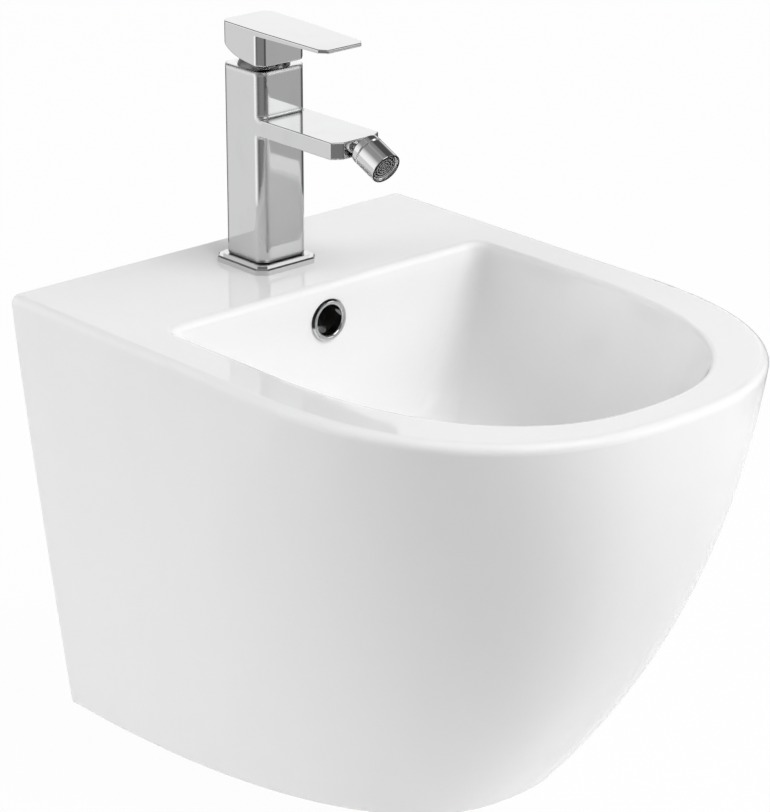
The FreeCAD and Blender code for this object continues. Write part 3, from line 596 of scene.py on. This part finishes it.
def threaded(mesh, low, high, root, crest, pitch, inner=None, sides=48, rows_in_pitch=6):
    """Upright threaded rod from low to high, or a thin sleeve where an inner radius is given."""
    angles = [2.0 * math.pi * side / sides for side in range(sides)]
    count = round((high - low) / pitch * rows_in_pitch)
    rows = []
    for i in range(count + 1):
        height = low + (high - low) * i / count
        fade = min(1.0, (height - low) / pitch, (high - height) / pitch)
        row = []
        for side, angle in enumerate(angles):
            phase = ((height - low) / pitch - side / sides) % 1.0
            ramp = 1.0 - abs(2.0 * phase - 1.0)
            rise = min(1.0, max(0.0, flank_slope * ramp - root_flat))
            radius = root + (crest - root) * rise * fade
            row.append(mesh.verts.new((radius * math.cos(angle), radius * math.sin(angle), height)))
        rows.append(row)
    if inner is None:
        mesh.faces.new(rows[0])
        mesh.faces.new(rows[-1])
    else:
        for height in (high, low):
            rows.append([mesh.verts.new((inner * math.cos(a), inner * math.sin(a), height)) for a in angles])
        join_rows(mesh, rows[-1], rows[0])
    for row, following in zip(rows, rows[1:]):
        join_rows(mesh, row, following)


print("thread maker ready")

# %% Threaded stud
stud_pitch = 0.00125
thread_depth_share = 0.61
low, high = (Vector(corner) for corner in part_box("mounting_stud"))
stud_r = (high.x - low.x) / 2.0
stud_place = Matrix.Translation(((low.x + high.x) / 2.0, (low.y + high.y) / 2.0, 0.0))
rod = bmesh.new()
threaded(rod, low.z, high.z, stud_r - thread_depth_share * stud_pitch, stud_r, stud_pitch)
stud = new_piece(rod, "threaded_stud", "steel", "fixture", stud_place)
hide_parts("mounting_stud")

# %% [markdown]
# The waste's tail carries the coarse thread for the trap's nut. The tail is a plain tube in the solid, so
# the thread is a thin sleeve round it, sunk a little into the wall. The record gives the tail's radius
# and length.

# %% Thread on the waste tail
tail = next(mount for mount in frame["record"]["mounts"] if mount["name"] == "waste_outlet")
tail_r = tail["dims"]["r_mm"] / 1000.0
tail_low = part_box("waste_body")[0][2]
tail_high = tail_low + tail["dims"]["length_mm"] / 1000.0
tail_pitch = 0.0023
tail_rise = 0.0004
tail_sink = 0.0003
tail_sides = 96
sleeve = bmesh.new()
threaded(sleeve, tail_low + tail_pitch, tail_high - tail_pitch / 2.0, tail_r, tail_r + tail_rise, tail_pitch,
         tail_r - tail_sink, tail_sides)
tail_place = Matrix.Translation((tail["pos_m"][0], tail["pos_m"][1], 0.0))
new_piece(sleeve, "waste_tail_thread", "chrome", "fixture", tail_place)

# %% [markdown]
# The studio is a pale table in a dim room. A white page round the object could come from more light, but
# that would burn out the white glaze. So the floor glows white only for rays that come straight from the
# camera, and keeps a share of its own shading, in which the object's shadow shows. Mirrors see it too,
# and chrome is nothing but mirrors: a page that is white all over would make it look like paper. So for a
# mirror the floor is white only as far as a table reaches. Beyond, it takes the level of the room in that
# direction: lit on the left, middling at the front right, and dim behind and towards the camera. Its own
# colour is darker towards the camera too, so that less light comes back up at the front of the bowl.

# %% Floor: sizes and levels
floor_z = -0.320
floor_half = 9.0
floor_rough = 0.9
floor_pale = grey(0.9)
floor_dim = grey(0.25)
page_share = 0.97
table_centre = (0.0, -0.23, 0.0)
table_reach = (0.80, 1.15)
table_level = 0.95
dim_reach = (0.40, 0.80)
dim_side = ((-0.66, -0.75, 0.0), 30.0, 75.0)
far_dark = 0.11
# Each lit side: its level, its bearing, and the angles where it starts to fade and ends.
far_sides = {"left": (0.82, (-0.75, 0.66, 0.0), 22.0, 44.0),
             "left panel": (0.60, (-0.98, 0.17, 0.0), 8.0, 30.0),
             "front right": (0.45, (0.66, -0.75, 0.0), 14.0, 36.0),
             "camera side": (0.18, (-0.70, -0.71, 0.0), 8.0, 26.0)}
print("lit sides", list(far_sides))

# %% Floor
def towards(direction, aim, inner_deg, outer_deg):
    """1 where a direction lies within the inner angle of the aim, 0 beyond the outer one, soft between."""
    cosine = along(direction, tuple(Vector(aim).normalized()))
    return soft_step(cosine, math.cos(math.radians(outer_deg)), math.cos(math.radians(inner_deg)))


def lit_towards(level, direction, sides):
    """The level, and more of it towards each lit side."""
    for bright, aim, inner_deg, outer_deg in sides.values():
        level = level + bright * towards(direction, aim, inner_deg, outer_deg)
    return level


def ray_kinds(tree):
    """For rays straight from the camera, through glass, and off a mirror: 1 for such a ray, or else 0."""
    kinds = ("Is Camera Ray", "Is Transmission Ray", "Is Glossy Ray")
    return [Wire(tree).node("ShaderNodeLightPath", out=kind) for kind in kinds]


def light_grey(level):
    return level.node("ShaderNodeCombineColor", None, {0: level, 1: level, 2: level})


floor_mesh = bpy.data.meshes.new("floor")
floor_corners = [(x * floor_half, y * floor_half, floor_z) for x, y in ((-1, -1), (1, -1), (1, 1), (-1, 1))]
floor_mesh.from_pydata(floor_corners, [], [(0, 1, 2, 3)])
floor = bpy.data.objects.new("floor", floor_mesh)
bpy.context.scene.collection.objects.link(floor)
page, shader, place = start_finish("page")
shader.inputs["Roughness"].default_value = floor_rough
shader.inputs["Specular IOR Level"].default_value = 0.0
spoke = vectors("SUBTRACT", stretched(place, (1.0, 1.0, 0.0)), table_centre)
reach = length_of(spoke)
bearing = vectors("NORMALIZE", spoke)
dim = soft_step(reach, *dim_reach) * towards(bearing, *dim_side)
blend(dim, floor_pale, floor_dim).into(shader.inputs["Base Color"])
beyond = soft_step(reach, *table_reach)
mirror_floor = lit_towards(far_dark, bearing, far_sides) * beyond + table_level * (1.0 - beyond)
straight, through, mirrored = ray_kinds(page.node_tree)
glow_level = straight + through + mirrored * mirror_floor
glow = place.node("ShaderNodeEmission", None, {"Color": light_grey(glow_level)})
lit = Wire(page.node_tree, shader.outputs[0])
glowing = page_share * (straight + through) + mirrored
mixed = place.node("ShaderNodeMixShader", None, {0: glowing, 1: lit, 2: glow})
mixed.into(page.node_tree.nodes["Material Output"].inputs["Surface"])
floor_mesh.materials.append(page)
print("floor at", floor_z)

# %% [markdown]
# The camera stands where the photographer's did. Its place came from lines that are level or upright on
# the real thing: the deck's edges, the column's edges and the tap's own symmetry. A long lens keeps the
# column nearly upright.

# %% Camera
camera_place = Vector((-1.4086, -1.7703, 0.8236))
camera_target = Vector((0.0636, -0.1141, -0.0314))
camera_data = bpy.data.cameras.new("camera")
camera_data.lens = 145.7
camera_data.sensor_width = 36.0
camera = bpy.data.objects.new("camera", camera_data)
camera.location = camera_place
camera.rotation_euler = (camera_target - camera_place).to_track_quat("-Z", "Y").to_euler()
bpy.context.scene.collection.objects.link(camera)
bpy.context.scene.camera = camera
print("camera", tuple(round(v, 3) for v in camera.location))

# %% [markdown]
# The world is the room round the table. It is white straight behind the object, and faint for everything
# that the lamps already light. For mirrors it has pale walls that darken into a ceiling, and a few lit
# places: a panel low behind on the right, which the flat tops of lever and spout show, a small bright one
# at the front right, the whole left wall with some of the ceiling over it, and a little light straight
# above.

# %% Room
room_level = 0.16
wall_level = 0.45
ceiling_level = 0.10
ceiling_start = (0.15, 0.55)
overhead_level = 0.22
overhead_start = (0.93, 0.98)
room_sides = {"right behind": (0.85, (0.62, 0.70, 0.30), 14.0, 24.0),
              "front right": (1.35, (0.62, -0.70, 0.36), 8.0, 14.0),
              "left wall": (0.90, (-0.80, 0.60, 0.05), 6.0, 48.0),
              "left ceiling": (0.30, (-0.62, 0.17, 0.77), 10.0, 40.0)}
world = bpy.data.worlds.new("room")
bpy.context.scene.world = world
world.use_nodes = True
tree = world.node_tree
direction = Wire(tree).node("ShaderNodeTexCoord", out="Generated")
height = coordinate(direction, "Z")
ceiling = soft_step(height, *ceiling_start)
walls = ceiling_level * ceiling + wall_level * (1.0 - ceiling)
overhead = overhead_level * soft_step(height, *overhead_start)
mirror_room = lit_towards(walls, direction, room_sides) + overhead
straight, through, mirrored = ray_kinds(tree)
seen = straight + through + mirrored
room_light = straight + through + mirrored * mirror_room + room_level * (1.0 - seen)
light_grey(room_light).into(tree.nodes["Background"].inputs["Color"])
print("room", room_level, "lit sides", list(room_sides))

# %% [markdown]
# White glaze shows its form only by how the light falls off. In the photograph the bowl's inside and the
# flanks are bright and the middle of the front, which faces the camera, is the darkest: the light comes
# from above the front, from the left and from behind, and the room behind the camera is dim. Large soft
# boxes, far enough away to light the rim evenly, give that light. Only one of them shows in mirrors. No
# two stand in the same place, because lamps that coincide lose light.

# %% Soft boxes
box_distance = 4.8
box_side = 3.0
middle = Vector((0.0, -0.23, -0.02))
# Each soft box: where it stands from the object, its level, and whether mirrors see it.
soft_boxes = {"above_front": ((0.0, -0.6, 0.8), 2.05, True),
              "above_right": ((0.5, -0.5, 0.7), 1.45, False),
              "above_fill": ((0.0, -0.63, 0.76), 1.5, False),
              "front_fill": ((0.1, -0.85, 0.55), 2.0, False),
              "front_right": ((0.5, -0.85, 0.3), 1.45, False),
              "right_behind": ((0.8, 0.6, 0.4), 0.4, False),
              "left_low": ((-0.85, 0.5, 0.1), 3.4, False),
              "left_behind": ((-0.8, 0.6, 0.4), 2.0, False)}


def soft_box(name, bearing, level, in_mirrors):
    """A square lamp, turned to the object, whose face is as bright as the level says, 1 being paper white."""
    light = bpy.data.lights.new(name, "AREA")
    light.shape = "SQUARE"
    light.size = box_side
    light.energy = level * math.pi * box_side * box_side
    lamp = bpy.data.objects.new(name, light)
    away = Vector(bearing).normalized()
    lamp.location = middle + away * box_distance
    lamp.rotation_euler = (-away).to_track_quat("-Z", "Y").to_euler()
    lamp.visible_glossy = in_mirrors
    bpy.context.scene.collection.objects.link(lamp)


for name, (bearing, level, in_mirrors) in soft_boxes.items():
    soft_box(name, bearing, level, in_mirrors)
print("lamps", len(bpy.data.lights))

# %% [markdown]
# The view transform is Standard, so that a colour comes out as it was written.

# %% View transform
bpy.context.scene.view_settings.view_transform = "Standard"
